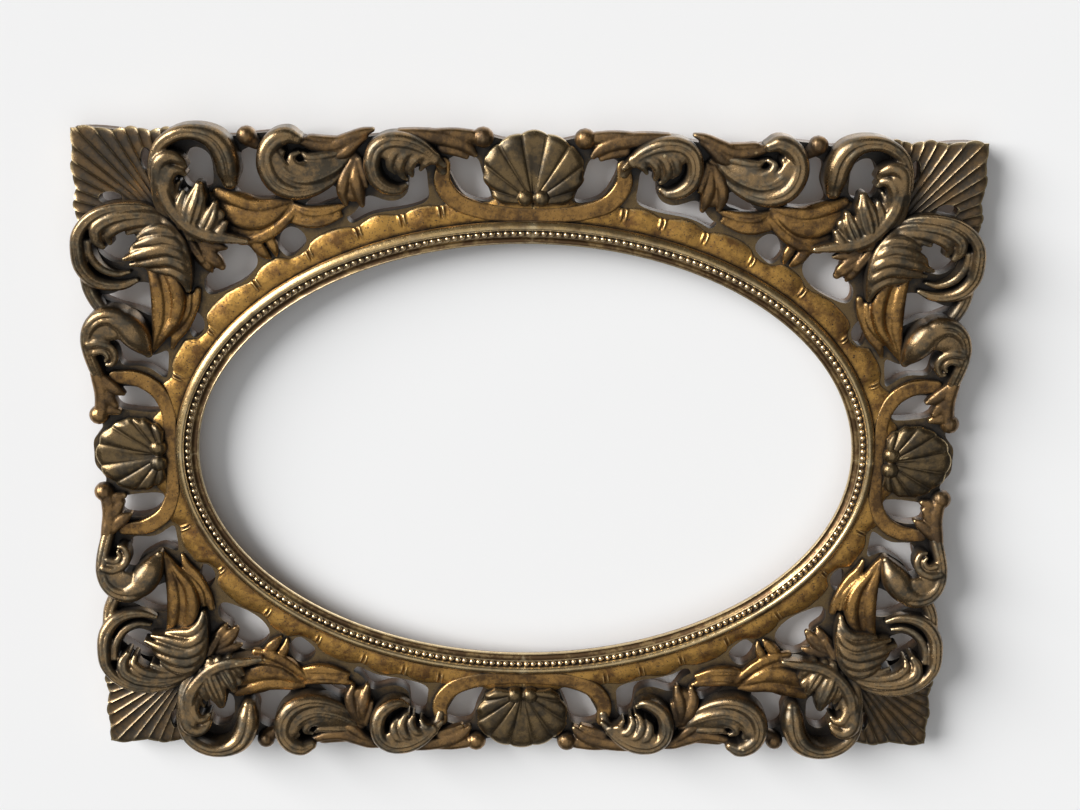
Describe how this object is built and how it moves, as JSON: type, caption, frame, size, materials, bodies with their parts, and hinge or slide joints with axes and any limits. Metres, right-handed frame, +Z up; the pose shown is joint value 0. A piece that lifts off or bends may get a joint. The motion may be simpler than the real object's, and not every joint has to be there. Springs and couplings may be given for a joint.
{
  "type": "ornate picture frame",
  "caption": "Rectangular carved and gilded wooden picture frame with an oval sight, an oval rebate behind it, turn buttons that hold the picture and rings to hang it on a wall.",
  "frame": {"origin": "on the wall plane, behind the middle of the oval sight", "axes": "+X to the viewer's right, +Z up, the carved front faces -Y and the back faces +Y"},
  "size_m": [0.61, 0.0361, 0.4628],
  "materials": {
    "gilt_ground": "oil-gilt over gesso, warm orange gold with dark specks",
    "gilt_moulding": "burnished gilding with a strong highlight",
    "bright_gilt": "bright gilding on small composition pearls",
    "gilt_leaf": "worn gilding with brown recesses",
    "bronzed_gilt": "darkened bronze gilding with pale worn ridges",
    "brass": "satin",
    "zinc_steel": "zinc plated",
    "felt": "felt"
  },
  "bodies": {
    "frame": {"bottom_rail": "gilt_ground", "corner_fan_bottom_left": "bronzed_gilt", "corner_fan_bottom_right": "bronzed_gilt", "corner_fan_top_left": "bronzed_gilt", "corner_fan_top_right": "bronzed_gilt", "crest_scroll_bottom_left": "bronzed_gilt", "crest_scroll_bottom_right": "bronzed_gilt", "crest_scroll_top_left": "bronzed_gilt", "crest_scroll_top_right": "bronzed_gilt", "felt_bumpers": "felt", "hanger_strap_left": "zinc_steel", "hanger_strap_right": "zinc_steel", "left_stile": "gilt_ground", "mounting_screws": "zinc_steel", "oval_moulding_bottom_left": "gilt_moulding", "oval_moulding_bottom_right": "gilt_moulding", "oval_moulding_top_left": "gilt_moulding", "oval_moulding_top_right": "gilt_moulding", "pearl_beading": "bright_gilt", "rail_acanthus_bottom_left": "bronzed_gilt", "rail_acanthus_bottom_right": "bronzed_gilt", "rail_acanthus_top_left": "bronzed_gilt", "rail_acanthus_top_right": "bronzed_gilt", "rail_leaf_bottom_left": "gilt_leaf", "rail_leaf_bottom_right": "gilt_leaf", "rail_leaf_top_left": "gilt_leaf", "rail_leaf_top_right": "gilt_leaf", "right_stile": "gilt_ground", "shell_bottom": "bronzed_gilt", "shell_left": "bronzed_gilt", "shell_right": "bronzed_gilt", "shell_top": "bronzed_gilt", "side_curl_bottom_left": "bronzed_gilt", "side_curl_bottom_right": "bronzed_gilt", "side_curl_top_left": "bronzed_gilt", "side_curl_top_right": "bronzed_gilt", "stile_acanthus_bottom_left": "bronzed_gilt", "stile_acanthus_bottom_right": "bronzed_gilt", "stile_acanthus_top_left": "bronzed_gilt", "stile_acanthus_top_right": "bronzed_gilt", "stile_leaf_bottom_left": "gilt_leaf", "stile_leaf_bottom_right": "gilt_leaf", "stile_leaf_top_left": "gilt_leaf", "stile_leaf_top_right": "gilt_leaf", "strap_bottom": "gilt_leaf", "strap_left": "gilt_leaf", "strap_right": "gilt_leaf", "strap_top": "gilt_leaf", "top_rail": "gilt_ground", "wave_scroll_bottom_left": "bronzed_gilt", "wave_scroll_bottom_right": "bronzed_gilt", "wave_scroll_top_left": "bronzed_gilt", "wave_scroll_top_right": "bronzed_gilt"},
    "ring_left": {"hanger_ring_left": "zinc_steel"},
    "ring_right": {"hanger_ring_right": "zinc_steel"},
    "button_top": {"turn_button_top": "brass"},
    "button_bottom": {"turn_button_bottom": "brass"},
    "button_left": {"turn_button_left": "brass"},
    "button_right": {"turn_button_right": "brass"}
  },
  "joints": [
    {"name": "hanger_ring_left_swing", "type": "hinge", "parent": "frame", "child": "ring_left", "pos_m": [-0.24, -0.00272, 0.206], "axis": [1, 0, 0], "range_deg": [0, 180]},
    {"name": "hanger_ring_right_swing", "type": "hinge", "parent": "frame", "child": "ring_right", "pos_m": [0.24, -0.00272, 0.206], "axis": [1, 0, 0], "range_deg": [0, 180]},
    {"name": "turn_button_top_turn", "type": "hinge", "parent": "frame", "child": "button_top", "pos_m": [0, -0.0042, 0.1675], "axis": [0, 1, 0], "continuous": true},
    {"name": "turn_button_bottom_turn", "type": "hinge", "parent": "frame", "child": "button_bottom", "pos_m": [0, -0.0042, -0.1675], "axis": [0, 1, 0], "continuous": true},
    {"name": "turn_button_left_turn", "type": "hinge", "parent": "frame", "child": "button_left", "pos_m": [-0.2435, -0.0042, 0], "axis": [0, 1, 0], "continuous": true},
    {"name": "turn_button_right_turn", "type": "hinge", "parent": "frame", "child": "button_right", "pos_m": [0.2435, -0.0042, 0], "axis": [0, 1, 0], "continuous": true}
  ]
}
